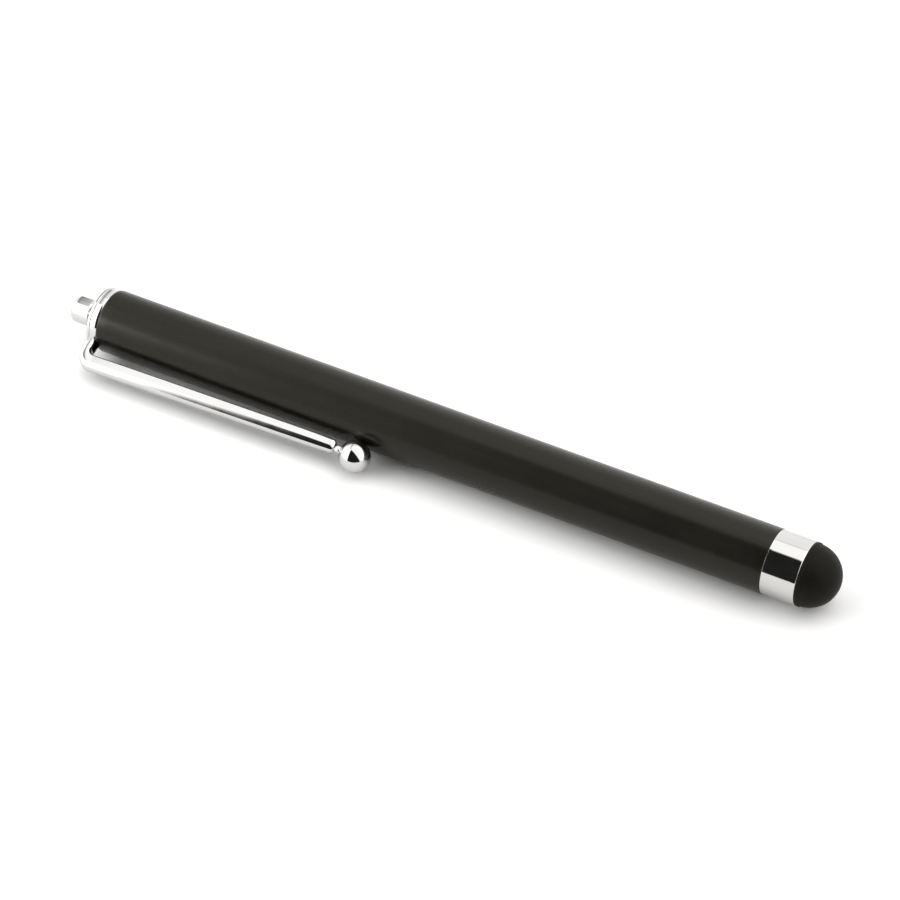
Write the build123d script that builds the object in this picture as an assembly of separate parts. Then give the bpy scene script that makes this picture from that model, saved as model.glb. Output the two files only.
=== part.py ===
from build123d import *
import math
import os

os.makedirs("parts", exist_ok=True)

# ---------------------------------------------------------------- dimensions (mm)
# Along the pen, s = 0 is the tail end of the barrel and s grows towards the tip.
BARREL_D = 9.0
BARREL_WALL = 0.6
BARREL_L = 100.8
BARREL_TAIL_ROUND = 0.35
BARREL_FRONT_BREAK = 0.08

FERRULE_D = 8.9
FERRULE_L = 4.75
FERRULE_BREAK_REAR = 0.03
FERRULE_BREAK_FRONT = 0.12
FERRULE_SPIGOT_L = 8.0
FERRULE_LIP_L = 1.0
FERRULE_LIP_BORE_D = 6.1
FERRULE_CHAMBER_D = 7.2
FERRULE_CHAMBER_L = 2.55
FERRULE_BORE_D = 6.4

PRESS_GAP = 0.02

DOME_R = 4.27
DOME_CENTRE_AHEAD = 0.37
DOME_WALL = 0.80
DOME_LIP_R = 4.40
DOME_LIP_L = 0.42
DOME_NECK_R = 3.00
DOME_NECK_BORE_R = 2.30
DOME_BEAD_R = 3.50
DOME_BEAD_L = 1.00
DOME_SEAT_GAP = 0.02

CORE_NOSE_R = 2.25
CORE_NOSE_REACH = 0.35
CORE_BODY_L = 8.5

BUSHING_L = 10.0
BUSHING_RECESS = 0.30
THREAD_D = 3.0

CLIP_TURN = 16.0  # how far the clip lies below the horizontal, degrees
CLIP_T = 1.05
CLIP_EYE_R = 4.38
CLIP_BEND_R = 0.95
CLIP_BEND_OUTER_R = 2.00
CLIP_W_ROOT = 2.20
CLIP_EDGE_R = 0.35
HINGE_S = 1.20
KNUCKLE_R = 0.38
# springy arm, flat towards the barrel and rounded outside, slowly tapering:
# s, distance from the pen's axis, width, thickness, outer corner radius
ARM_SECTIONS = [
    (1.30, 7.526, 2.12, 2.12, 0.95),
    (5.00, 7.438, 2.11, 2.11, 0.95),
    (12.5, 7.261, 2.08, 2.08, 0.94),
    (19.0, 7.108, 2.03, 2.03, 0.92),
    (25.5, 6.955, 1.99, 1.99, 0.90),
    (32.0, 6.801, 1.95, 1.95, 0.89),
    (35.5, 6.719, 1.90, 1.90, 0.87),
    (39.3, 6.629, 1.72, 1.72, 0.79),
]
ARM_INNER_R = 0.30
ARM_END_R = 1.25
SPIGOT_R = 0.55
SPIGOT_REACH = 2.0

BALL_R = 2.20
BALL_S = 42.25
BALL_GAP = 0.08

CAP_R = 4.40
CAP_T = 0.45
CAP_DOME = 0.30
POST_NECK_R = 1.35
POST_NECK_END = 2.60
POST_FLARE_END = 2.90
POST_HEAD_R = 1.95
POST_END = 6.00
POST_ROUND = 0.80
SHANK_L = 8.0

# ---------------------------------------------------------------- frame
# Pen along X with the tip at +X, lying on z = 0 on its barrel, the clip on the -Y side.
barrel_r = BARREL_D / 2
ball_rho = barrel_r + BALL_GAP + BALL_R
clip_th = math.radians(CLIP_TURN)
dome_c = BARREL_L + FERRULE_L + DOME_CENTRE_AHEAD
overall = POST_END + dome_c + DOME_R
X0 = -overall / 2 + POST_END
AXIS_Y = ((ball_rho * math.cos(clip_th) + BALL_R) - barrel_r) / 2
AXIS_Z = barrel_r

lay = Location((X0, AXIS_Y, AXIS_Z))
clip_lay = lay * Location((0, 0, 0), (180 + math.degrees(clip_th), 0, 0))


def turned(points):
    """Solid of revolution about the pen's axis from (s, radius) points."""
    return revolve(make_face(Polyline(*points, close=True)), Axis.X, 360)


def save(solid, name, where=lay):
    placed = where * solid
    placed.label = name
    export_step(placed, f"parts/{name}.step")


# ---------------------------------------------------------------- barrel
bore_r = barrel_r - BARREL_WALL
b = BARREL_TAIL_ROUND
k = b * (1 - math.sqrt(0.5))
tube_outline = (
    Line((0, bore_r), (0, barrel_r - b))
    + ThreePointArc((0, barrel_r - b), (k, barrel_r - k), (b, barrel_r))
    + Line((b, barrel_r), (BARREL_L - BARREL_FRONT_BREAK, barrel_r))
    + Line((BARREL_L - BARREL_FRONT_BREAK, barrel_r), (BARREL_L, barrel_r - BARREL_FRONT_BREAK))
    + Line((BARREL_L, barrel_r - BARREL_FRONT_BREAK), (BARREL_L, bore_r))
    + Line((BARREL_L, bore_r), (0, bore_r))
)
save(revolve(make_face(tube_outline), Axis.X, 360), "barrel")

# ---------------------------------------------------------------- front ring with its spigot
spigot_r = bore_r - PRESS_GAP
f0 = BARREL_L
f1 = BARREL_L + FERRULE_L
fr = FERRULE_D / 2
lip_back = f1 - FERRULE_LIP_L
chamber_back = lip_back - FERRULE_CHAMBER_L
ferrule = turned(
    [
        (f0 - FERRULE_SPIGOT_L, FERRULE_BORE_D / 2),
        (f0 - FERRULE_SPIGOT_L, spigot_r - 0.3),
        (f0 - FERRULE_SPIGOT_L + 0.3, spigot_r),
        (f0 - 4.4, spigot_r),
        (f0 - 4.2, spigot_r - 0.2),
        (f0 - 3.4, spigot_r - 0.2),
        (f0 - 3.2, spigot_r),
        (f0, spigot_r),
        (f0, fr - FERRULE_BREAK_REAR),
        (f0 + FERRULE_BREAK_REAR, fr),
        (f1 - FERRULE_BREAK_FRONT, fr),
        (f1, fr - FERRULE_BREAK_FRONT),
        (f1, FERRULE_LIP_BORE_D / 2),
        (lip_back, FERRULE_LIP_BORE_D / 2),
        (lip_back, FERRULE_CHAMBER_D / 2),
        (chamber_back, FERRULE_CHAMBER_D / 2),
        (chamber_back, FERRULE_BORE_D / 2),
    ]
)
save(ferrule, "tip_ferrule")

# ---------------------------------------------------------------- rubber dome
seat = f1 + DOME_SEAT_GAP
bead_front = lip_back - 0.05
bead_back = bead_front - DOME_BEAD_L
cav_r = DOME_R - DOME_WALL
lip_end = seat + DOME_LIP_L
shoulder_s = lip_end + 0.13
shoulder_r = math.sqrt(DOME_R**2 - (shoulder_s - dome_c) ** 2)
mid = math.radians(42)
cav_s = dome_c + 0.05
cav_foot_r = math.sqrt(cav_r**2 - (cav_s - dome_c) ** 2)
dome_outline = (
    Line((bead_back, DOME_NECK_BORE_R), (bead_back, DOME_BEAD_R - 0.3))
    + Line((bead_back, DOME_BEAD_R - 0.3), (bead_back + 0.3, DOME_BEAD_R))
    + Line((bead_back + 0.3, DOME_BEAD_R), (bead_front, DOME_BEAD_R))
    + Line((bead_front, DOME_BEAD_R), (bead_front, DOME_NECK_R))
    + Line((bead_front, DOME_NECK_R), (seat, DOME_NECK_R))
    + Line((seat, DOME_NECK_R), (seat, DOME_LIP_R - 0.08))
    + Line((seat, DOME_LIP_R - 0.08), (seat + 0.08, DOME_LIP_R))
    + Line((seat + 0.08, DOME_LIP_R), (lip_end, DOME_LIP_R))
    + Line((lip_end, DOME_LIP_R), (shoulder_s, shoulder_r))
    + ThreePointArc(
        (shoulder_s, shoulder_r),
        (dome_c + DOME_R * math.sin(mid), DOME_R * math.cos(mid)),
        (dome_c + DOME_R, 0),
    )
    + Line((dome_c + DOME_R, 0), (dome_c + cav_r, 0))
    + ThreePointArc(
        (dome_c + cav_r, 0),
        (dome_c + cav_r * math.sin(mid), cav_r * math.cos(mid)),
        (cav_s, cav_foot_r),
    )
    + Line((cav_s, cav_foot_r), (cav_s, DOME_NECK_BORE_R))
    + Line((cav_s, DOME_NECK_BORE_R), (bead_back, DOME_NECK_BORE_R))
)
save(revolve(make_face(dome_outline), Axis.X, 360), "rubber_tip")

# ---------------------------------------------------------------- contact plug inside the dome
core_r = FERRULE_BORE_D / 2 - PRESS_GAP
core_front = chamber_back - 0.05
nose_end = f1 - CORE_NOSE_REACH
core = turned(
    [
        (core_front - CORE_BODY_L, 0),
        (core_front - CORE_BODY_L, core_r - 0.3),
        (core_front - CORE_BODY_L + 0.3, core_r),
        (core_front, core_r),
        (core_front, CORE_NOSE_R),
        (nose_end - 0.4, CORE_NOSE_R),
        (nose_end, CORE_NOSE_R - 0.4),
        (nose_end, 0),
    ]
)
save(core, "tip_core")

# ---------------------------------------------------------------- tail bushing
thread_r = THREAD_D / 2
t0 = BUSHING_RECESS
t1 = BUSHING_RECESS + BUSHING_L
bushing = turned(
    [
        (t0, thread_r + PRESS_GAP + 0.25),
        (t0, spigot_r - 0.2),
        (t0 + 0.2, spigot_r),
        (t0 + 4.6, spigot_r),
        (t0 + 4.8, spigot_r - 0.2),
        (t0 + 5.4, spigot_r - 0.2),
        (t0 + 5.6, spigot_r),
        (t1 - 0.2, spigot_r),
        (t1, spigot_r - 0.2),
        (t1, thread_r + PRESS_GAP),
        (t0 + 0.25, thread_r + PRESS_GAP),
    ]
)
save(bushing, "tail_bushing")

# ---------------------------------------------------------------- end cap: flange, necked post, threaded shank
cap_back = -CLIP_T
cap_rim = cap_back - CAP_T
cap_top = cap_rim - CAP_DOME
q = math.sqrt(0.5)
cap_outline = (
    Line((SHANK_L, 0), (SHANK_L, thread_r - 0.3))
    + Line((SHANK_L, thread_r - 0.3), (SHANK_L - 0.3, thread_r))
    + Line((SHANK_L - 0.3, thread_r), (cap_back, thread_r))
    + Line((cap_back, thread_r), (cap_back, CAP_R - 0.03))
    + Line((cap_back, CAP_R - 0.03), (cap_back - 0.03, CAP_R))
    + Line((cap_back - 0.03, CAP_R), (cap_rim + 0.12, CAP_R))
    + Line((cap_rim + 0.12, CAP_R), (cap_rim, CAP_R - 0.14))
    + ThreePointArc(
        (cap_rim, CAP_R - 0.14),
        (cap_rim - 0.72 * CAP_DOME, (CAP_R + POST_NECK_R) / 2),
        (cap_top, POST_NECK_R),
    )
    + Line((cap_top, POST_NECK_R), (-POST_NECK_END, POST_NECK_R))
    + Line((-POST_NECK_END, POST_NECK_R), (-POST_FLARE_END, POST_HEAD_R))
    + Line((-POST_FLARE_END, POST_HEAD_R), (-POST_END + POST_ROUND, POST_HEAD_R))
    + ThreePointArc(
        (-POST_END + POST_ROUND, POST_HEAD_R),
        (-POST_END + POST_ROUND * (1 - q), POST_HEAD_R - POST_ROUND * (1 - q)),
        (-POST_END, POST_HEAD_R - POST_ROUND),
    )
    + Line((-POST_END, POST_HEAD_R - POST_ROUND), (-POST_END, 0))
    + Line((-POST_END, 0), (SHANK_L, 0))
)
save(revolve(make_face(cap_outline), Axis.X, 360), "end_cap")

# ---------------------------------------------------------------- clip, drawn with its radial direction along +Y
mid_rho = ARM_SECTIONS[0][1]
arm_inner = mid_rho - ARM_SECTIONS[0][3] / 2
arm_outer = mid_rho + ARM_SECTIONS[0][3] / 2
inner_rho = arm_inner - CLIP_BEND_R
outer_s = CLIP_BEND_OUTER_R - CLIP_T
outer_rho = arm_outer - CLIP_BEND_OUTER_R


def bar_section(mid_s, mid_r, along, width, thick, inner_corner, outer_corner):
    """Cross-section of the clip, square to the direction it runs in, with its own corners towards the barrel."""
    face = Rectangle(width, thick)
    face = fillet(face.vertices().group_by(Axis.Y)[-1], inner_corner)
    face = fillet(face.vertices().group_by(Axis.Y)[0], outer_corner)
    return Plane(origin=(mid_s, mid_r, 0), x_dir=(0, 0, 1), z_dir=along) * face


# flat leg out of the eye, then the bend, which thickens from the plate to the round arm
leg_start = 2.2
leg = extrude(
    bar_section(-CLIP_T / 2, leg_start, (0, 1, 0), CLIP_W_ROOT, CLIP_T, CLIP_EDGE_R, CLIP_EDGE_R),
    amount=inner_rho - leg_start,
    dir=(0, 1, 0),
)
straight = outer_rho - inner_rho
outer_run = straight + CLIP_BEND_OUTER_R * math.pi / 2
arm_w, arm_t, arm_corner = ARM_SECTIONS[0][2:]
BEND_STEPS = 8
bend_sections = []
for i in range(BEND_STEPS + 1):
    f = i / BEND_STEPS
    a = f * math.pi / 2
    inner_p = (CLIP_BEND_R * (1 - math.cos(a)), inner_rho + CLIP_BEND_R * math.sin(a))
    run = outer_run * f
    if run < straight:
        outer_p = (-CLIP_T, inner_rho + run)
    else:
        b = (run - straight) / CLIP_BEND_OUTER_R
        outer_p = (outer_s - CLIP_BEND_OUTER_R * math.cos(b), outer_rho + CLIP_BEND_OUTER_R * math.sin(b))
    across = (inner_p[0] - outer_p[0], inner_p[1] - outer_p[1])
    bend_sections.append(
        bar_section(
            (inner_p[0] + outer_p[0]) / 2,
            (inner_p[1] + outer_p[1]) / 2,
            (-across[1], across[0], 0),
            CLIP_W_ROOT + (arm_w - CLIP_W_ROOT) * f,
            math.hypot(*across),
            CLIP_EDGE_R + (ARM_INNER_R - CLIP_EDGE_R) * f,
            CLIP_EDGE_R + (arm_corner - CLIP_EDGE_R) * f,
        )
    )
bend_sections.append(bar_section(HINGE_S, mid_rho, (1, 0, 0), arm_w, arm_t, ARM_INNER_R, arm_corner))
bend = loft(bend_sections)
eye = revolve(
    make_face(
        Polyline(
            (-CLIP_T, thread_r + 0.05),
            (-CLIP_T, CLIP_EYE_R - 0.03),
            (-CLIP_T + 0.03, CLIP_EYE_R),
            (-0.1, CLIP_EYE_R),
            (0, CLIP_EYE_R - 0.1),
            (0, thread_r + 0.05),
            close=True,
        )
    ),
    Axis.X,
    360,
)
knuckle_axis = Pos(HINGE_S, mid_rho, 0)
socket = knuckle_axis * Cylinder(KNUCKLE_R + 0.01, CLIP_W_ROOT + 1)
root = (eye + leg + bend) - socket
save(root, "clip_root", clip_lay)

# springy arm through its sections, each square to the arm's middle line
sections = []
for i, (s, rho, width, thick, corner) in enumerate(ARM_SECTIONS):
    before = ARM_SECTIONS[max(i - 1, 0)]
    after = ARM_SECTIONS[min(i + 1, len(ARM_SECTIONS) - 1)]
    along = (after[0] - before[0], after[1] - before[1], 0) if i else (1, 0, 0)
    sections.append(bar_section(s, rho, along, width, thick, ARM_INNER_R, corner))
arm = loft(sections)
# domed end
dome_s = ARM_SECTIONS[-1][0] - ARM_END_R
dome_rho = ARM_SECTIONS[-1][1] + 0.03
arm = arm - (Pos(dome_s + 2, dome_rho, 0) * Box(4, 6, 6) - Pos(dome_s, dome_rho, 0) * Sphere(ARM_END_R))
tongue_w = CLIP_W_ROOT - 2 * CLIP_EDGE_R
tongue = knuckle_axis * Cylinder(KNUCKLE_R, tongue_w)
web = Pos(HINGE_S + 0.2, mid_rho, 0) * Box(0.4, 2 * KNUCKLE_R * 0.9, tongue_w)
# spigot that carries the bead, from the middle of the arm's end towards the bead's centre
end_mid = ARM_SECTIONS[-1][:2]
aim = math.degrees(math.atan2(ball_rho - end_mid[1], BALL_S - end_mid[0]))
reach = math.hypot(BALL_S - end_mid[0], ball_rho - end_mid[1])
spigot_len = 0.8 + reach - BALL_R + SPIGOT_REACH
spigot_base = Location((BALL_S, ball_rho, 0), (0, 0, aim))
spigot = spigot_base * Location((-(reach + 0.8) + spigot_len / 2, 0, 0), (0, 90, 0)) * Cylinder(SPIGOT_R, spigot_len)
arm = arm + tongue + web + spigot
save(arm, "clip_arm", clip_lay)

# bead with its blind hole
hole_len = SPIGOT_REACH + 0.05 + 1.0
hole = spigot_base * Location((-BALL_R - 1.0 + hole_len / 2, 0, 0), (0, 90, 0)) * Cylinder(SPIGOT_R + PRESS_GAP, hole_len)
bead = Pos(BALL_S, ball_rho, 0) * Sphere(BALL_R) - hole
save(bead, "clip_ball", clip_lay)
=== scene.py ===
import math

import bmesh
import bpy
import numpy as np
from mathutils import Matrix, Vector


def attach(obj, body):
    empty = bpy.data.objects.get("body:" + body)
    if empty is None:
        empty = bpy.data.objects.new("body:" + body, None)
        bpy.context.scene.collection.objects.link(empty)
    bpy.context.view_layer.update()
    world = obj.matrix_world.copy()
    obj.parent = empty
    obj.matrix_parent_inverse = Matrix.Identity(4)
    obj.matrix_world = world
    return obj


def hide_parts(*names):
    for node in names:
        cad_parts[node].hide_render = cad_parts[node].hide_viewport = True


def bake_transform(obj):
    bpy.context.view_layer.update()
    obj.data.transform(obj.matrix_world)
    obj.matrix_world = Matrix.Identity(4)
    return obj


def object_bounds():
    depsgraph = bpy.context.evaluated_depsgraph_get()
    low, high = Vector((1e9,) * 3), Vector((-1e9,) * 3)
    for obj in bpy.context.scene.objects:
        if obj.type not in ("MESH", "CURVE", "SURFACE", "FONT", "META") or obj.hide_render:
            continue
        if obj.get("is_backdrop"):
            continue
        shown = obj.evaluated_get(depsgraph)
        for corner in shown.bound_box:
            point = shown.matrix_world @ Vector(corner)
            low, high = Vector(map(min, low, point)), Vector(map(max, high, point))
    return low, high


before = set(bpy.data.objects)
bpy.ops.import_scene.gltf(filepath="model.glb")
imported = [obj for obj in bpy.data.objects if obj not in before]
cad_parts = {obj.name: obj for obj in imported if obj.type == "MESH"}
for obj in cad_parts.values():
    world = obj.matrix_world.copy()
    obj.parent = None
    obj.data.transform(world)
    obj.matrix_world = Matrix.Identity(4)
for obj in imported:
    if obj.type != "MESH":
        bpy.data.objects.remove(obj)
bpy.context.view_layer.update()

# ---------------------------------------------------------------- dimensions (mm)
# Along the pen, s = 0 is the tail end of the barrel and s grows towards the tip.
MM = 0.001
BARREL_R = 4.5
BORE_R = 3.9
BARREL_L = 100.8
FERRULE_R = 4.45
FERRULE_L = 4.75
DOME_R = 4.27
DOME_C = BARREL_L + FERRULE_L + 0.37
POST_END = 6.0
CLIP_T = 1.05
BALL_R = 2.20
BALL_S = 42.25
BALL_RHO = BARREL_R + 0.08 + BALL_R
CLIP_ANGLE = math.radians(16.0)

X0 = -(POST_END + DOME_C + DOME_R) / 2 + POST_END
AXIS_Y = ((BALL_RHO * math.cos(CLIP_ANGLE) + BALL_R) - BARREL_R) / 2
AXIS_Z = BARREL_R

PEN_ORIGIN = np.array([X0, AXIS_Y, AXIS_Z])
E_S = np.array([1.0, 0.0, 0.0])
# the clip's radial direction (down towards the camera side) and its width direction
E_RHO = np.array([0.0, -math.cos(CLIP_ANGLE), -math.sin(CLIP_ANGLE)])
E_TAU = np.array([0.0, math.sin(CLIP_ANGLE), -math.cos(CLIP_ANGLE)])

SEGS = 256


# ---------------------------------------------------------------- mesh helpers
def rounded(points, n=8, closed=False):
    """Outline with its corners rounded: each point is (along, radius, corner radius)."""
    out = []
    m = len(points)
    for i, (x, y, f) in enumerate(points):
        if f <= 0 or (not closed and i in (0, m - 1)):
            out.append((x, y))
            continue
        b = np.array([x, y])
        p = np.array(points[i - 1][:2]) - b
        q = np.array(points[(i + 1) % m][:2]) - b
        lp, lq = np.linalg.norm(p), np.linalg.norm(q)
        p, q = p / lp, q / lq
        half = math.acos(max(-1.0, min(1.0, float(p @ q)))) / 2
        t = min(f / math.tan(half), 0.49 * lp, 0.49 * lq)
        f = t * math.tan(half)
        mid = (p + q) / np.linalg.norm(p + q)
        c = b + mid * f / math.sin(half)
        a0 = math.atan2(*(b + p * t - c)[::-1])
        a1 = math.atan2(*(b + q * t - c)[::-1])
        d = (a1 - a0 + math.pi) % (2 * math.pi) - math.pi
        for k in range(n + 1):
            a = a0 + d * k / n
            out.append((c[0] + f * math.cos(a), c[1] + f * math.sin(a)))
    return out


def dense(points, step, closed=False):
    """Adds points on the long straight runs of an outline."""
    out = []
    m = len(points)
    for i in range(m if closed else m - 1):
        (x0, y0), (x1, y1) = points[i], points[(i + 1) % m]
        k = max(1, int(math.ceil(math.hypot(x1 - x0, y1 - y0) / step)))
        out += [(x0 + (x1 - x0) * j / k, y0 + (y1 - y0) * j / k) for j in range(k)]
    if not closed:
        out.append(points[-1])
    return out


def arc(c, r, a0, a1, n):
    """Points on an arc in the outline's plane, angles in degrees from the radius direction towards +s."""
    out = []
    for k in range(n + 1):
        a = math.radians(a0 + (a1 - a0) * k / n)
        out.append((c + r * math.sin(a), max(0.0, r * math.cos(a))))
    return out


def finish_mesh(name, verts, faces, sharp=32.0):
    mesh = bpy.data.meshes.new(name)
    mesh.from_pydata([tuple(float(x) * MM for x in v) for v in verts], [], faces)
    bm = bmesh.new()
    bm.from_mesh(mesh)
    bmesh.ops.recalc_face_normals(bm, faces=bm.faces)
    bm.to_mesh(mesh)
    bm.free()
    mesh.shade_smooth()
    mesh.set_sharp_from_angle(angle=math.radians(sharp))
    obj = bpy.data.objects.new(name, mesh)
    bpy.context.scene.collection.objects.link(obj)
    even = obj.modifiers.new("even_normals", "WEIGHTED_NORMAL")
    even.keep_sharp = True
    even.weight = 50
    return obj


def lathe(name, outline, closed, origin=PEN_ORIGIN, axis=E_S, segs=SEGS, sharp=32.0):
    """Turned piece from an outline of (along, radius) points."""
    axis = np.array(axis, float) / np.linalg.norm(axis)
    u = np.cross(axis, [0.0, 0.0, 1.0])
    u /= np.linalg.norm(u)
    v = np.cross(axis, u)
    turn = [(math.cos(2 * math.pi * j / segs), math.sin(2 * math.pi * j / segs)) for j in range(segs)]
    verts, rings = [], []
    for s, r in outline:
        if r < 1e-6:
            rings.append([len(verts)])
            verts.append(origin + axis * s)
        else:
            rings.append(list(range(len(verts), len(verts) + segs)))
            verts += [origin + axis * s + (u * c + v * d) * r for c, d in turn]
    faces = []
    pairs = list(zip(rings, rings[1:])) + ([(rings[-1], rings[0])] if closed else [])
    for a, b in pairs:
        for j in range(segs):
            k = (j + 1) % segs
            if len(a) == 1 and len(b) == 1:
                continue
            if len(a) == 1:
                faces.append((a[0], b[j], b[k]))
            elif len(b) == 1:
                faces.append((a[j], b[0], a[k]))
            else:
                faces.append((a[j], b[j], b[k], a[k]))
    return finish_mesh(name, verts, faces, sharp)


# ---------------------------------------------------------------- materials
def new_material(name):
    mat = bpy.data.materials.new(name)
    mat.use_nodes = True
    tree = mat.node_tree
    for n in list(tree.nodes):
        tree.nodes.remove(n)
    out = tree.nodes.new("ShaderNodeOutputMaterial")
    bsdf = tree.nodes.new("ShaderNodeBsdfPrincipled")
    tree.links.new(bsdf.outputs["BSDF"], out.inputs["Surface"])
    place = tree.nodes.new("ShaderNodeTexCoord")
    return mat, tree, bsdf, place.outputs["Object"]


def stretched(tree, place, scale):
    m = tree.nodes.new("ShaderNodeMapping")
    m.vector_type = "POINT"
    m.inputs["Scale"].default_value = scale
    tree.links.new(place, m.inputs["Vector"])
    return m.outputs["Vector"]


def noise(tree, place, scale, detail=4.0, rough=0.55, distortion=0.0):
    n = tree.nodes.new("ShaderNodeTexNoise")
    n.inputs["Scale"].default_value = scale
    n.inputs["Detail"].default_value = detail
    n.inputs["Roughness"].default_value = rough
    n.inputs["Distortion"].default_value = distortion
    tree.links.new(place, n.inputs["Vector"])
    return n.outputs["Fac"]


def ramp(tree, fac, stops):
    r = tree.nodes.new("ShaderNodeValToRGB")
    el = r.color_ramp.elements
    el[0].position, el[0].color = stops[0][0], (*stops[0][1], 1)
    el[1].position, el[1].color = stops[-1][0], (*stops[-1][1], 1)
    for pos, col in stops[1:-1]:
        e = el.new(pos)
        e.color = (*col, 1)
    tree.links.new(fac, r.inputs["Fac"])
    return r.outputs["Color"]


def remap(tree, fac, a, b, low, high):
    m = tree.nodes.new("ShaderNodeMapRange")
    m.inputs["From Min"].default_value = a
    m.inputs["From Max"].default_value = b
    m.inputs["To Min"].default_value = low
    m.inputs["To Max"].default_value = high
    tree.links.new(fac, m.inputs["Value"])
    return m.outputs["Result"]


def math_node(tree, op, a, b):
    m = tree.nodes.new("ShaderNodeMath")
    m.operation = op
    for i, x in enumerate((a, b)):
        if isinstance(x, (int, float)):
            m.inputs[i].default_value = x
        else:
            tree.links.new(x, m.inputs[i])
    return m.outputs["Value"]


def bump(tree, height, strength, distance, bsdf):
    b = tree.nodes.new("ShaderNodeBump")
    b.inputs["Strength"].default_value = strength
    b.inputs["Distance"].default_value = distance
    tree.links.new(height, b.inputs["Height"])
    tree.links.new(b.outputs["Normal"], bsdf.inputs["Normal"])


def lacquer():
    """Satin black lacquer on drawn tube: faint lengthwise draw lines, fine orange peel, slightly warm black."""
    mat, tree, bsdf, place = new_material("black_lacquer")
    streaks = noise(tree, stretched(tree, place, (14, 900, 900)), 1.0, 3.0, 0.6)
    clouds = noise(tree, place, 160, 3.0, 0.5)
    peel = noise(tree, place, 5200, 2.0, 0.5)
    both = math_node(tree, "ADD", math_node(tree, "MULTIPLY", streaks, 0.55), math_node(tree, "MULTIPLY", clouds, 0.45))
    colour = ramp(
        tree,
        both,
        [(0.30, (0.0050, 0.0044, 0.0032)), (0.52, (0.0063, 0.0056, 0.0041)), (0.74, (0.0078, 0.0070, 0.0053))],
    )
    tree.links.new(colour, bsdf.inputs["Base Color"])
    tree.links.new(remap(tree, both, 0.3, 0.7, 0.23, 0.30), bsdf.inputs["Roughness"])
    bsdf.inputs["IOR"].default_value = 1.32
    bsdf.inputs["Specular IOR Level"].default_value = 0.5
    bsdf.inputs["Specular Tint"].default_value = (1.0, 0.95, 0.82, 1.0)
    height = math_node(tree, "ADD", math_node(tree, "MULTIPLY", peel, 0.5), math_node(tree, "MULTIPLY", streaks, 0.6))
    bump(tree, height, 0.10, 0.00002, bsdf)
    return mat


def chrome():
    """Bright plating: polished, with a faint haze and very fine handling marks."""
    mat, tree, bsdf, place = new_material("chrome")
    haze = noise(tree, place, 420, 4.0, 0.6)
    marks = noise(tree, stretched(tree, place, (300, 5200, 5200)), 1.0, 2.0, 0.5)
    colour = ramp(tree, haze, [(0.30, (0.545, 0.542, 0.535)), (0.70, (0.575, 0.572, 0.565))])
    tree.links.new(colour, bsdf.inputs["Base Color"])
    bsdf.inputs["Metallic"].default_value = 1.0
    tree.links.new(remap(tree, haze, 0.3, 0.7, 0.045, 0.085), bsdf.inputs["Roughness"])
    bump(tree, marks, 0.05, 0.000004, bsdf)
    return mat


def rubber():
    """Matte conductive silicone: fine moulded grain, slight bloom."""
    mat, tree, bsdf, place = new_material("black_rubber")
    bloom = noise(tree, place, 380, 4.0, 0.6)
    grain = noise(tree, place, 9000, 3.0, 0.6)
    colour = ramp(
        tree,
        bloom,
        [(0.30, (0.0042, 0.0039, 0.0029)), (0.70, (0.0060, 0.0056, 0.0044))],
    )
    tree.links.new(colour, bsdf.inputs["Base Color"])
    tree.links.new(remap(tree, grain, 0.3, 0.7, 0.46, 0.60), bsdf.inputs["Roughness"])
    bsdf.inputs["IOR"].default_value = 1.19
    bsdf.inputs["Specular IOR Level"].default_value = 0.5
    bsdf.inputs["Specular Tint"].default_value = (1.0, 0.95, 0.80, 1.0)
    bump(tree, grain, 0.25, 0.00002, bsdf)
    return mat


def brass():
    """Turned, unplated brass: fine turning rings and a little tarnish."""
    mat, tree, bsdf, place = new_material("brass")
    tarnish = noise(tree, place, 500, 4.0, 0.6)
    rings = noise(tree, stretched(tree, place, (7000, 40, 40)), 1.0, 2.0, 0.5)
    colour = ramp(tree, tarnish, [(0.3, (0.55, 0.37, 0.14)), (0.7, (0.76, 0.56, 0.25))])
    tree.links.new(colour, bsdf.inputs["Base Color"])
    bsdf.inputs["Metallic"].default_value = 1.0
    tree.links.new(remap(tree, tarnish, 0.3, 0.7, 0.22, 0.36), bsdf.inputs["Roughness"])
    bump(tree, rings, 0.2, 0.00001, bsdf)
    return mat


M_LACQUER = lacquer()
M_CHROME = chrome()
M_RUBBER = rubber()
M_BRASS = brass()


def dress(obj, mat, body=None, nodes=()):
    obj.data.materials.clear()
    obj.data.materials.append(mat)
    if nodes:
        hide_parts(*nodes)
    if body:
        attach(obj, body)


# ---------------------------------------------------------------- barrel
barrel = lathe(
    "barrel_tube",
    dense(
        rounded(
            [(0, BORE_R, 0.05), (0, BARREL_R, 0.35), (BARREL_L, BARREL_R, 0.08), (BARREL_L, BORE_R, 0.05)],
            n=10,
            closed=True,
        ),
        1.6,
        closed=True,
    ),
    True,
)
dress(barrel, M_LACQUER, "pen", ["barrel"])

# ---------------------------------------------------------------- front ring
spigot_r = BORE_R - 0.02
f0, f1 = BARREL_L, BARREL_L + FERRULE_L
ring = lathe(
    "front_ring",
    dense(
        rounded(
            [
                (f0 - 8.0, 3.2, 0.05),
                (f0 - 8.0, spigot_r, 0.3),
                (f0 - 4.3, spigot_r, 0.05),
                (f0 - 4.2, spigot_r - 0.2, 0.05),
                (f0 - 3.4, spigot_r - 0.2, 0.05),
                (f0 - 3.3, spigot_r, 0.05),
                (f0, spigot_r, 0.0),
                (f0, FERRULE_R, 0.03),
                (f1, FERRULE_R, 0.12),
                (f1, 3.05, 0.05),
                (f1 - 1.0, 3.05, 0.05),
                (f1 - 1.0, 3.6, 0.05),
                (f1 - 3.55, 3.6, 0.05),
                (f1 - 3.55, 3.2, 0.05),
            ],
            n=8,
            closed=True,
        ),
        0.5,
        closed=True,
    ),
    True,
)
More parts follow.
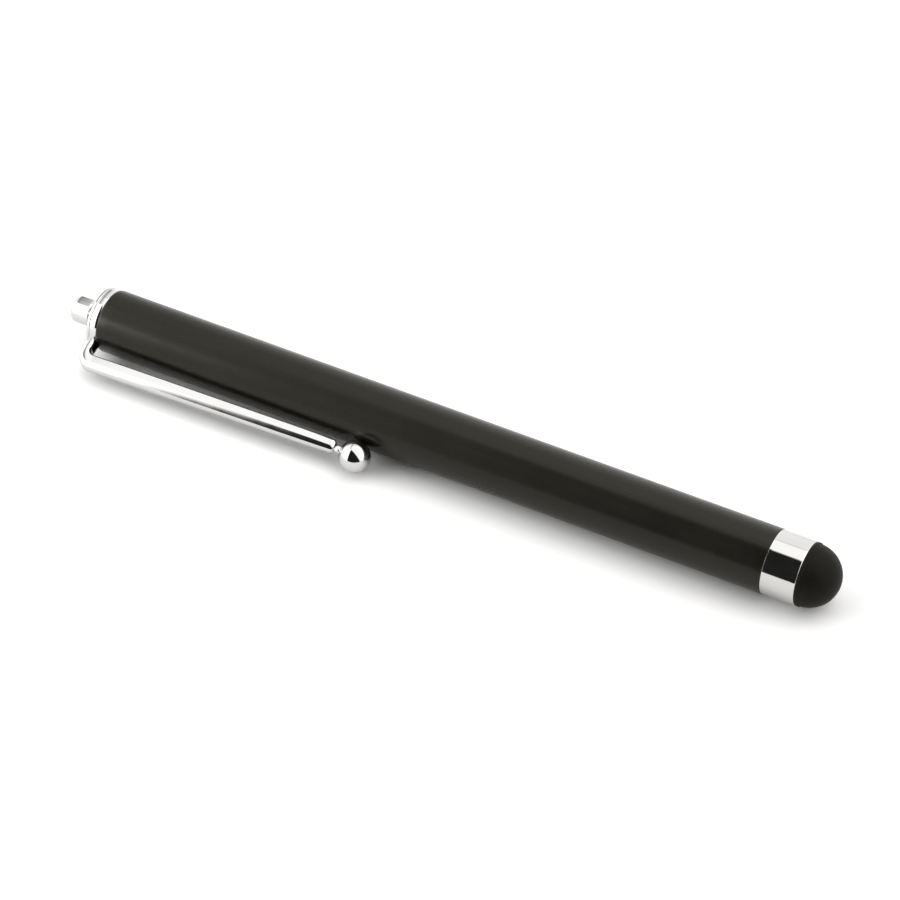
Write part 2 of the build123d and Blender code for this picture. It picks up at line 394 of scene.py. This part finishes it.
dress(ring, M_CHROME, "pen", ["tip_ferrule"])

# ---------------------------------------------------------------- rubber dome
seat = f1 + 0.02
lip_end = seat + 0.42
shoulder_s = lip_end + 0.13
a_shoulder = math.degrees(math.asin((shoulder_s - DOME_C) / DOME_R))
cav_r = DOME_R - 0.80
cav_s = DOME_C + 0.05
a_cav = math.degrees(math.asin(0.05 / cav_r))
shoulder_r = math.sqrt(DOME_R**2 - (shoulder_s - DOME_C) ** 2)
foot = rounded(
    [
        (shoulder_s + 0.15, math.sqrt(DOME_R**2 - (shoulder_s + 0.15 - DOME_C) ** 2), 0),
        (shoulder_s, shoulder_r, 0.10),
        (lip_end, 4.40, 0.08),
        (seat, 4.40, 0.08),
        (seat, 3.0, 0.05),
        (f1 - 1.05, 3.0, 0.05),
        (f1 - 1.05, 3.5, 0.08),
        (f1 - 2.05, 3.5, 0.30),
        (f1 - 2.05, 2.3, 0.08),
        (cav_s, 2.3, 0.08),
        (cav_s, math.sqrt(cav_r**2 - 0.05**2), 0),
    ],
    n=6,
)
a_start = math.degrees(math.asin((shoulder_s + 0.15 - DOME_C) / DOME_R))
dome_outline = arc(DOME_C, DOME_R, 90, a_start, 56) + foot[1:-1] + arc(DOME_C, cav_r, a_cav, 90, 24)
dome = lathe("dome_tip", dense(dome_outline, 0.5), False)
dome.data.materials.clear()
dome.data.materials.append(M_RUBBER)
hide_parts("rubber_tip")
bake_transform(dome)

# ---------------------------------------------------------------- end cap with its necked post
cap_back = -CLIP_T
cap_rim = cap_back - 0.45
cap_top = cap_rim - 0.30
cap = lathe(
    "end_cap_turned",
    dense(
        rounded(
            [
                (8.0, 0.0, 0),
                (8.0, 1.5, 0.3),
                (cap_back, 1.5, 0.05),
                (cap_back, 4.40, 0.03),
                (cap_rim, 4.40, 0.14),
                (cap_rim - 0.14, 3.55, 0.9),
                (cap_rim - 0.25, 2.2, 0.9),
                (cap_top, 1.35, 0.20),
                (-2.60, 1.35, 0.10),
                (-2.88, 1.95, 0.12),
                (-POST_END, 1.95, 0.80),
                (-POST_END, 0.0, 0),
            ],
            n=8,
        ),
        0.4,
    ),
    False,
    segs=192,
)
dress(cap, M_CHROME, "pen", ["end_cap"])

# ---------------------------------------------------------------- clip: eye plate, bend and springy arm in one piece
# middle line of the arm with its size there: s, distance from the axis, width, thickness, outer corner radius
ARM_SECTIONS = [
    (1.30, 7.526, 2.12, 2.12, 0.95),
    (5.00, 7.438, 2.11, 2.11, 0.95),
    (12.5, 7.261, 2.08, 2.08, 0.94),
    (19.0, 7.108, 2.03, 2.03, 0.92),
    (25.5, 6.955, 1.99, 1.99, 0.90),
    (32.0, 6.801, 1.95, 1.95, 0.89),
    (35.5, 6.719, 1.90, 1.90, 0.87),
    (39.3, 6.629, 1.72, 1.72, 0.79),
]


def smooth_line(points, step):
    """Natural cubic through the points, by length along the first two numbers; gives (values, tangent) pairs."""
    p = np.array(points, float)
    t = np.concatenate([[0], np.cumsum(np.linalg.norm(np.diff(p[:, :2], axis=0), axis=1))])
    n = len(t)
    h = np.diff(t)
    a = np.zeros((n, n))
    b = np.zeros((n, p.shape[1]))
    a[0, 0] = a[-1, -1] = 1
    for i in range(1, n - 1):
        a[i, i - 1], a[i, i], a[i, i + 1] = h[i - 1], 2 * (h[i - 1] + h[i]), h[i]
        b[i] = 6 * ((p[i + 1] - p[i]) / h[i] - (p[i] - p[i - 1]) / h[i - 1])
    m = np.linalg.solve(a, b)
    out = []
    for q in np.linspace(0, t[-1], int(t[-1] / step) + 1):
        i = min(int(np.searchsorted(t, q, side="right")) - 1, n - 2)
        d0, d1 = q - t[i], t[i + 1] - q
        c0 = p[i] / h[i] - m[i] * h[i] / 6
        c1 = p[i + 1] / h[i] - m[i + 1] * h[i] / 6
        pos = m[i] * d1**3 / (6 * h[i]) + m[i + 1] * d0**3 / (6 * h[i]) + c0 * d1 + c1 * d0
        tan = (-m[i] * d1**2 / (2 * h[i]) + m[i + 1] * d0**2 / (2 * h[i]) - c0 + c1)[:2]
        out.append((pos, tan / np.linalg.norm(tan)))
    return out


INNER_R = 0.30
CORNER_STEPS = 9
ACROSS = 14


def corner_layers(t, r_front, r_rear):
    """(depth from the front face, inset from the side) down one rounded edge of the strip."""
    out = []
    for k in range(CORNER_STEPS + 1):
        a = math.pi / 2 * k / CORNER_STEPS
        out.append((r_front * (1 - math.cos(a)), r_front * (1 - math.sin(a))))
    for k in range(CORNER_STEPS, -1, -1):
        a = math.pi / 2 * k / CORNER_STEPS
        out.append((t - r_rear * (1 - math.cos(a)), r_rear * (1 - math.sin(a))))
    return out


def clip_point(s, rho, tau):
    return PEN_ORIGIN + E_S * s + E_RHO * rho + E_TAU * tau


def strip_section(mid, n_in, half, t, r_front, r_rear):
    """One cross-section of the strip, front face first, then round the +tau edge, the rear face and the -tau edge."""
    layers = corner_layers(t, r_front, r_rear)
    pts = []

    def put(depth, tau):
        q = mid + n_in * (t / 2 - depth)
        pts.append(clip_point(q[0], q[1], tau))

    w = half - layers[0][1]
    for k in range(ACROSS + 1):
        put(layers[0][0], -w + 2 * w * k / ACROSS)
    for d, i in layers[1:-1]:
        put(d, half - i)
    w = half - layers[-1][1]
    for k in range(ACROSS + 1):
        put(layers[-1][0], w - 2 * w * k / ACROSS)
    for d, i in reversed(layers[1:-1]):
        put(d, -(half - i))
    return pts


def build_clip():
    verts, faces = [], []

    def add(points):
        first = len(verts)
        verts.extend(points)
        return list(range(first, first + len(points)))

    half0, edge = 1.10, 0.35
    bend_r, bend_outer = 0.95, 2.00
    arm_inner = ARM_SECTIONS[0][1] - ARM_SECTIONS[0][3] / 2
    arm_outer = ARM_SECTIONS[0][1] + ARM_SECTIONS[0][3] / 2
    bend_rho = arm_inner - bend_r
    layers = corner_layers(CLIP_T, edge, edge)
    n_tab, n_eye = 8, 160
    # plate: tab sides and round eye, one outline per layer
    first_section = None
    loops = []
    for d, inset in layers:
        h = half0 - inset
        # the eye's own rim is only lightly broken
        r = 4.38 - inset * 0.12
        join = math.asin(h / r)
        pts = []
        for k in range(n_tab):
            rho = bend_rho + (r * math.cos(join) - bend_rho) * k / n_tab
            pts.append((rho, h))
        for k in range(n_eye + 1):
            a = join + (2 * math.pi - 2 * join) * k / n_eye
            pts.append((r * math.cos(a), r * math.sin(a)))
        for k in range(n_tab - 1, -1, -1):
            rho = bend_rho + (r * math.cos(join) - bend_rho) * k / n_tab
            pts.append((rho, -h))
        loops.append(pts)
    ids = [add([clip_point(-d, rho, tau) for rho, tau in pts]) for (d, _), pts in zip(layers, loops)]
    for a, b in zip(ids, ids[1:]):
        for j in range(len(a) - 1):
            faces.append((a[j], a[j + 1], b[j + 1], b[j]))
    # front and rear faces of the plate, down to the hole for the shank
    section_rows = []
    hole_rings = []
    for row, depth, inset in ((0, 0.0, layers[0][1]), (len(layers) - 1, CLIP_T, layers[-1][1])):
        w = half0 - inset
        end = [(bend_rho, -w + 2 * w * k / ACROSS) for k in range(1, ACROSS)]
        end_ids = add([clip_point(-depth, rho, tau) for rho, tau in end])
        section_rows.append([ids[row][-1]] + end_ids + [ids[row][0]])
        outer = ids[row] + end_ids[::-1]
        flat = loops[row] + end[::-1]
        inner_pts = []
        for rho, tau in flat:
            g = math.hypot(rho, tau)
            inner_pts.append((rho / g * 1.55, tau / g * 1.55))
        mids = [
            add([clip_point(-depth, p[0] + (q[0] - p[0]) * f, p[1] + (q[1] - p[1]) * f) for p, q in zip(flat, inner_pts)])
            for f in (0.12, 0.5, 1.0)
        ]
        previous = outer
        for ring_ids in mids:
            for j in range(len(outer)):
                k = (j + 1) % len(outer)
                faces.append((previous[j], previous[k], ring_ids[k], ring_ids[j]))
            previous = ring_ids
        hole_rings.append(previous)
    for j in range(len(hole_rings[0])):
        k = (j + 1) % len(hole_rings[0])
        faces.append((hole_rings[0][j], hole_rings[0][k], hole_rings[1][k], hole_rings[1][j]))
    # the strip's first section is the open top of the plate
    front_row, rear_row = section_rows
    section = (
        front_row
        + [row[0] for row in ids[1:-1]]
        + rear_row[::-1]
        + [row[-1] for row in reversed(ids[1:-1])]
    )
    sections = [section]

    def sweep(mid, n_in, half, t, r_front, r_rear):
        sections.append(add(strip_section(np.array(mid, float), np.array(n_in, float), half, t, r_front, r_rear)))

    # the bend thickens from the plate to the arm
    outer_s, outer_rho = bend_outer - CLIP_T, arm_outer - bend_outer
    straight = outer_rho - bend_rho
    for k in range(1, 25):
        a = math.pi / 2 * k / 24
        inner_p = np.array([bend_r - bend_r * math.cos(a), bend_rho + bend_r * math.sin(a)])
        run_out = (straight + bend_outer * math.pi / 2) * k / 24
        if run_out < straight:
            outer_p = np.array([-CLIP_T, bend_rho + run_out])
        else:
            b = (run_out - straight) / bend_outer
            outer_p = np.array([outer_s - bend_outer * math.cos(b), outer_rho + bend_outer * math.sin(b)])
        across = inner_p - outer_p
        thick = np.linalg.norm(across)
        f = k / 24
        corner = min(edge + (ARM_SECTIONS[0][4] - edge) * f, 0.48 * thick)
        half = half0 + (ARM_SECTIONS[0][2] / 2 - half0) * f
        sweep((inner_p + outer_p) / 2, across / thick, half, thick, edge + (INNER_R - edge) * f, corner)
    line = smooth_line(ARM_SECTIONS, 0.4)
    last = None
    end_round = 0.70
    for pos, tan in line:
        if pos[0] > ARM_SECTIONS[-1][0] - end_round:
            break
        n_in = np.array([tan[1], -tan[0]])
        mid, half, thick = pos[:2], pos[2] / 2, pos[3]
        # the real corners never quite meet
        corner = min(pos[4], 0.97 * min(half, thick / 2))
        sweep(mid, n_in, half, thick, INNER_R, corner)
        last = (mid, n_in, tan, half, thick, corner)
    # rounded end of the arm, running into the spigot that carries the ball
    mid, n_in, tan, half, thick, corner = last
    run = ARM_SECTIONS[-1][0] - mid[0]
    for k in range(1, 11):
        a = math.pi / 2 * k / 10
        shrink = end_round * (1 - math.cos(a))
        sweep(
            mid + tan * (run - end_round + end_round * math.sin(a)),
            n_in,
            half - shrink,
            thick - 2 * shrink,
            max(0.05, INNER_R - 0.35 * shrink),
            max(0.05, corner - shrink),
        )
    end = mid + tan * run
    ball = np.array([BALL_S, BALL_RHO])
    way = ball - end
    reach = np.linalg.norm(way)
    way /= reach
    side = np.array([-way[1], way[0]])
    # section points keep their order round the spigot
    pts = [np.array(verts[i]) for i in sections[-1]]
    centre = clip_point(end[0], end[1], 0)
    e_side = E_S * side[0] + E_RHO * side[1]
    angles = [math.atan2(float((p - centre) @ E_TAU), float((p - centre) @ e_side)) for p in pts]
    start = angles[0]
    spin = sum(
        (angles[(j + 1) % len(angles)] - angles[j] + math.pi) % (2 * math.pi) - math.pi for j in range(len(angles))
    )
    sign = 1 if spin > 0 else -1
    order = [start + sign * ((sign * (x - start)) % (2 * math.pi)) for x in angles]
    inside = reach - BALL_R + 1.95
    for dist, rad in ((0.02, 0.54), (0.30, 0.54), (inside - 0.1, 0.54), (inside, 0.48)):
        q = end + way * dist
        c = clip_point(q[0], q[1], 0)
        sections.append(add([c + (e_side * math.cos(x) + E_TAU * math.sin(x)) * rad for x in order]))
    for a, b in zip(sections, sections[1:]):
        for j in range(len(a)):
            k = (j + 1) % len(a)
            faces.append((a[j], a[k], b[k], b[j]))
    q = end + way * inside
    tip = add([clip_point(q[0], q[1], 0)])[0]
    for j in range(len(sections[-1])):
        faces.append((sections[-1][j], sections[-1][(j + 1) % len(sections[-1])], tip))
    return finish_mesh("clip_strip", verts, faces, 40.0), way


clip, ball_way = build_clip()
clip.data.materials.clear()
clip.data.materials.append(M_CHROME)
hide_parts("clip_root", "clip_arm")
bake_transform(clip)

# ---------------------------------------------------------------- ball on the end of the clip
ball_axis = E_S * ball_way[0] + E_RHO * ball_way[1]
hole_r = 0.56
lip_a = math.degrees(math.asin(hole_r / BALL_R))
ball_outline = [(0.06, 0.0), (0.06, hole_r - 0.05), (0.01, hole_r)]
ball_outline += [(-1.0, hole_r), (-BALL_R * math.cos(math.radians(lip_a)) + 0.05, hole_r)]
ball_outline += [
    (-BALL_R * math.cos(math.radians(a)), BALL_R * math.sin(math.radians(a)))
    for a in np.linspace(lip_a + 1.5, 180.0, 72)
]
ball_outline[-1] = (BALL_R, 0.0)
ball = lathe(
    "clip_bead",
    ball_outline,
    False,
    origin=clip_point(BALL_S, BALL_RHO, 0),
    axis=ball_axis,
    segs=128,
    sharp=40.0,
)
dress(ball, M_CHROME, "clip", ["clip_ball"])

# ---------------------------------------------------------------- inner brass pieces keep their own shape
for node in ("tip_core", "tail_bushing"):
    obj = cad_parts[node]
    obj.data.materials.clear()
    obj.data.materials.append(M_BRASS)

# ---------------------------------------------------------------- floor
floor_mesh = bpy.data.meshes.new("floor")
floor_mesh.from_pydata([(-4, -4, -1e-5), (4, -4, -1e-5), (4, 4, -1e-5), (-4, 4, -1e-5)], [], [(0, 1, 2, 3)])
floor = bpy.data.objects.new("floor", floor_mesh)
bpy.context.scene.collection.objects.link(floor)
mat, tree, bsdf, place = new_material("floor_white")
paper = noise(tree, place, 30, 3.0, 0.5)
tree.links.new(ramp(tree, paper, [(0.3, (0.80, 0.80, 0.80)), (0.7, (0.82, 0.82, 0.82))]), bsdf.inputs["Base Color"])
bsdf.inputs["Roughness"].default_value = 0.9
bsdf.inputs["Specular IOR Level"].default_value = 0.0
floor_mesh.materials.append(mat)
floor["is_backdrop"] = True

# ---------------------------------------------------------------- soft studio light
# A white tent: diffuser overhead, pale wall behind, both sides lit, and its open front towards an unlit room.
world = bpy.data.worlds.new("studio")
bpy.context.scene.world = world
world.use_nodes = True
wt = world.node_tree
for n in list(wt.nodes):
    wt.nodes.remove(n)
w_out = wt.nodes.new("ShaderNodeOutputWorld")
w_bg = wt.nodes.new("ShaderNodeBackground")
w_co = wt.nodes.new("ShaderNodeTexCoord")
w_xyz = wt.nodes.new("ShaderNodeSeparateXYZ")
wt.links.new(w_co.outputs["Generated"], w_xyz.inputs["Vector"])
wx, wy, wz = (w_xyz.outputs[k] for k in "XYZ")


def soft(value, a, b):
    """0 at a, 1 at b, smooth between."""
    m = wt.nodes.new("ShaderNodeMapRange")
    m.interpolation_type = "SMOOTHSTEP"
    lo, hi, flip = (a, b, False) if a < b else (b, a, True)
    m.inputs["From Min"].default_value = lo
    m.inputs["From Max"].default_value = hi
    m.inputs["To Min"].default_value = 1.0 if flip else 0.0
    m.inputs["To Max"].default_value = 0.0 if flip else 1.0
    wt.links.new(value, m.inputs["Value"])
    return m.outputs["Result"]


def times(a, b):
    return math_node(wt, "MULTIPLY", a, b)


def plus(a, b):
    return math_node(wt, "ADD", a, b)


# angle from the back horizon over the top to the front horizon, in degrees
over = times(math_node(wt, "ARCTAN2", math_node(wt, "MAXIMUM", wz, 0.0), wy), 180 / math.pi)
WALL, SOFTBOX, KEY, LEFT_BOX, RIGHT_BOX, UNLIT = 1.40, 1.70, 1.5, 2.30, 1.60, 0.02
# the tent's open side starts at a slanted front edge
inside = plus(plus(times(wy, 0.887), times(wx, 0.399)), times(wz, 0.234))
lit = soft(inside, -0.05, 0.05)
far_left = plus(times(times(soft(wx, -0.4395, -0.4435), soft(wx, -0.56, -0.50)), -0.72), 1.0)
seam = times(soft(over, 52.0, 56.0), soft(over, 60.0, 56.0))
box = soft(over, 56.0, 59.0)
roof = plus(plus(times(box, SOFTBOX - WALL), WALL), times(seam, -0.30))
key = times(times(soft(wx, -0.20, -0.05), times(soft(over, 52.0, 58.0), soft(over, 84.0, 76.0))), soft(wz, 0.25, 0.45))
low = soft(wz, 0.84, 0.78)
left = times(times(soft(wx, -0.37, -0.40), soft(inside, 0.05, -0.05)), LEFT_BOX)
right_az = plus(times(wx, 0.3746), times(wy, 0.9272))
right = times(times(times(soft(right_az, -0.03, 0.03), soft(wx, 0.0, 0.1)), low), RIGHT_BOX)
tent = plus(times(times(lit, far_left), roof), times(key, KEY))
level = plus(math_node(wt, "MAXIMUM", plus(tent, left), right), UNLIT)
w_bg.inputs["Color"].default_value = (1.0, 0.995, 0.985, 1)
wt.links.new(level, w_bg.inputs["Strength"])
wt.links.new(w_bg.outputs["Background"], w_out.inputs["Surface"])

# a small low fill lamp beside the tail lightens the shadow under the clip
fill_data = bpy.data.lights.new("fill", "AREA")
fill_data.shape = "RECTANGLE"
fill_data.size, fill_data.size_y = 0.09, 0.07
fill_data.energy = 0.14
fill = bpy.data.objects.new("fill", fill_data)
fill.location = (-0.155, -0.085, 0.062)
fill.rotation_euler = (Vector(fill.location) - Vector((-0.030, -0.008, 0.0))).to_track_quat("Z", "Y").to_euler()
bpy.context.scene.collection.objects.link(fill)

# ---------------------------------------------------------------- camera at the photograph's angle
cam_az, cam_el = math.radians(28.085), math.radians(43.173)
back = Vector((math.sin(cam_az) * math.cos(cam_el), -math.cos(cam_az) * math.cos(cam_el), math.sin(cam_el)))
cam_data = bpy.data.cameras.new("camera")
cam_data.sensor_width = 36.0
cam_data.lens = 142.84
cam_data.clip_start = 0.01
cam_data.clip_end = 50.0
cam = bpy.data.objects.new("camera", cam_data)
cam.location = (0.165886, -0.306512, 0.331528)
cam.rotation_euler = back.to_track_quat("Z", "Y").to_euler()
bpy.context.scene.collection.objects.link(cam)
bpy.context.scene.camera = cam

bpy.context.scene.view_settings.view_transform = "Standard"
bpy.context.scene.view_settings.look = "None"

low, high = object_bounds()
